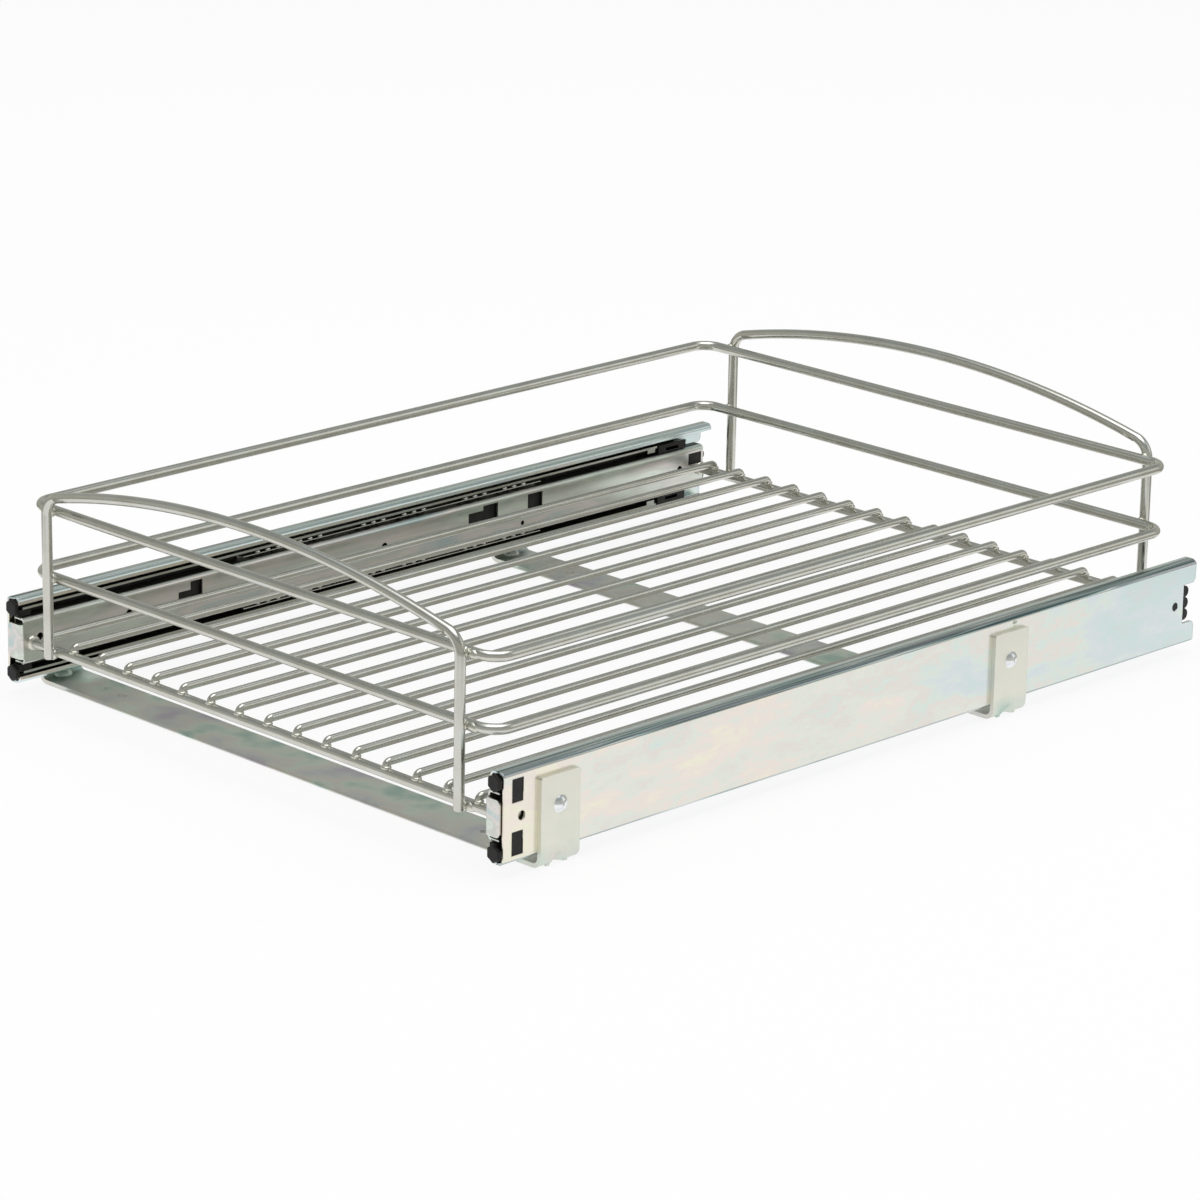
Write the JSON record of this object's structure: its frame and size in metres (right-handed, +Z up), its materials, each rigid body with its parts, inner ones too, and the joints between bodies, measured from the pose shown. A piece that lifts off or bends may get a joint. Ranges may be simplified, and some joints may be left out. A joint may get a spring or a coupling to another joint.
{
  "type": "pull-out cabinet organizer",
  "caption": "Wire basket with arched ends on two full-extension ball-bearing slides, joined by flat floor straps that screw to a cabinet floor.",
  "frame": {"origin": "on the floor under the straps, in the middle of the overall box", "axes": "+Z up, X across the cabinet, the front of the basket and its way out towards -Y"},
  "size_m": [0.3764, 0.5102, 0.132],
  "materials": {
    "satin_nickel_wire": "satin nickel plated steel wire",
    "zinc_plated_steel": "bright zinc plate with a faint rainbow tint",
    "galvanised_steel": "dull zinc plate",
    "cage_steel": "bright pressed steel",
    "bearing_steel": "polished",
    "black_plastic": "moulded, matte"
  },
  "bodies": {
    "base": {"front_strap": "galvanised_steel", "rear_strap": "galvanised_steel", "strap_rivets": "galvanised_steel", "left_outer_rail": "zinc_plated_steel", "left_front_guides": "black_plastic", "left_rail_stopper": "black_plastic", "right_outer_rail": "zinc_plated_steel", "right_front_guides": "black_plastic", "right_rail_stopper": "black_plastic"},
    "left_middle": {"left_middle_rail": "zinc_plated_steel", "left_middle_front_caps": "black_plastic", "left_middle_rear_caps": "black_plastic"},
    "left_outer_bearing": {"left_outer_ball_cage": "cage_steel", "left_outer_balls": "bearing_steel"},
    "left_inner_bearing": {"left_inner_ball_cage": "cage_steel", "left_inner_balls": "bearing_steel"},
    "right_middle": {"right_middle_rail": "zinc_plated_steel", "right_middle_front_caps": "black_plastic", "right_middle_rear_caps": "black_plastic"},
    "right_outer_bearing": {"right_outer_ball_cage": "cage_steel", "right_outer_balls": "bearing_steel"},
    "right_inner_bearing": {"right_inner_ball_cage": "cage_steel", "right_inner_balls": "bearing_steel"},
    "basket": {"left_inner_rail": "zinc_plated_steel", "left_rear_bumper": "black_plastic", "left_catch_inserts": "black_plastic", "right_inner_rail": "zinc_plated_steel", "right_rear_bumper": "black_plastic", "right_catch_inserts": "black_plastic", "front_arch_frame": "satin_nickel_wire", "rear_arch_frame": "satin_nickel_wire", "top_rail_loop": "satin_nickel_wire", "middle_rail_loop": "satin_nickel_wire", "front_cross_wire": "satin_nickel_wire", "rear_cross_wire": "satin_nickel_wire", "floor_wire_01": "satin_nickel_wire", "floor_wire_02": "satin_nickel_wire", "floor_wire_03": "satin_nickel_wire", "floor_wire_04": "satin_nickel_wire", "floor_wire_05": "satin_nickel_wire", "floor_wire_06": "satin_nickel_wire", "floor_wire_07": "satin_nickel_wire", "floor_wire_08": "satin_nickel_wire", "floor_wire_09": "satin_nickel_wire", "floor_wire_10": "satin_nickel_wire", "floor_wire_11": "satin_nickel_wire", "floor_wire_12": "satin_nickel_wire", "floor_wire_13": "satin_nickel_wire", "floor_wire_14": "satin_nickel_wire", "floor_wire_15": "satin_nickel_wire", "floor_wire_16": "satin_nickel_wire"}
  },
  "joints": [
    {"name": "basket_pull", "type": "slide", "parent": "base", "child": "basket", "axis": [0, -1, 0], "range_m": [0, 0.5]},
    {"name": "left_middle_slide", "type": "slide", "parent": "base", "child": "left_middle", "axis": [0, -1, 0], "range_m": [0, 0.25]},
    {"name": "left_outer_bearing_slide", "type": "slide", "parent": "base", "child": "left_outer_bearing", "axis": [0, -1, 0], "range_m": [0, 0.125]},
    {"name": "left_inner_bearing_slide", "type": "slide", "parent": "base", "child": "left_inner_bearing", "axis": [0, -1, 0], "range_m": [0, 0.375]},
    {"name": "right_middle_slide", "type": "slide", "parent": "base", "child": "right_middle", "axis": [0, -1, 0], "range_m": [0, 0.25]},
    {"name": "right_outer_bearing_slide", "type": "slide", "parent": "base", "child": "right_outer_bearing", "axis": [0, -1, 0], "range_m": [0, 0.125]},
    {"name": "right_inner_bearing_slide", "type": "slide", "parent": "base", "child": "right_inner_bearing", "axis": [0, -1, 0], "range_m": [0, 0.375]}
  ],
  "couplings": [
    {"joint": "left_middle_slide", "follows": "basket_pull", "ratio": 0.5},
    {"joint": "left_outer_bearing_slide", "follows": "basket_pull", "ratio": 0.25},
    {"joint": "left_inner_bearing_slide", "follows": "basket_pull", "ratio": 0.75},
    {"joint": "right_middle_slide", "follows": "basket_pull", "ratio": 0.5},
    {"joint": "right_outer_bearing_slide", "follows": "basket_pull", "ratio": 0.25},
    {"joint": "right_inner_bearing_slide", "follows": "basket_pull", "ratio": 0.75}
  ]
}
